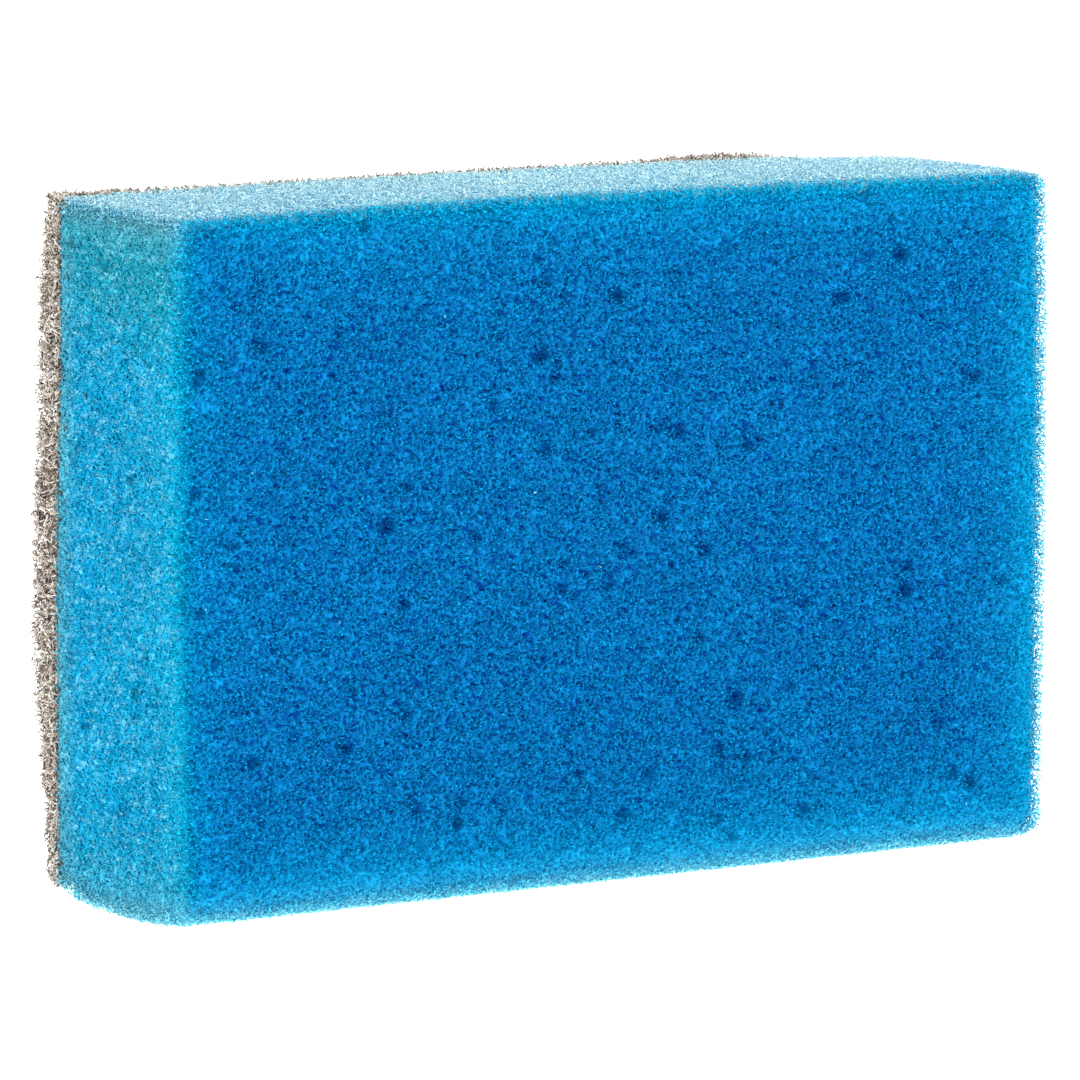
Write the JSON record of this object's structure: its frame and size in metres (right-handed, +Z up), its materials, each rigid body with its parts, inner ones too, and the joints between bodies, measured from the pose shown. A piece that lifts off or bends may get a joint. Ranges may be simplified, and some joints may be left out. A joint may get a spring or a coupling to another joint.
{
  "type": "grout cleaning sponge",
  "caption": "Rectangular open-cell foam sponge with a non-woven scouring pad glued to its back face, for wiping grout off tiles.",
  "frame": {"origin": "middle of the long narrow side that the block stands on, at the bottom", "axes": "+X along the length, +Y through the layers from the foam face to the pad face, +Z up"},
  "size_m": [0.144, 0.044, 0.1],
  "materials": {
    "foam": "blue open-cell polyurethane foam, matt, with fine cells and scattered larger pores",
    "glue": "cured hot-melt glue, pale and slightly glossy, soaked into the layers on both sides",
    "abrasive_fibre": "grey-beige non-woven fibre web, coated with resin and abrasive grit"
  },
  "bodies": {
    "root": {"foam_block": "foam", "glue_film": "glue", "scouring_pad": "abrasive_fibre"}
  },
  "joints": []
}
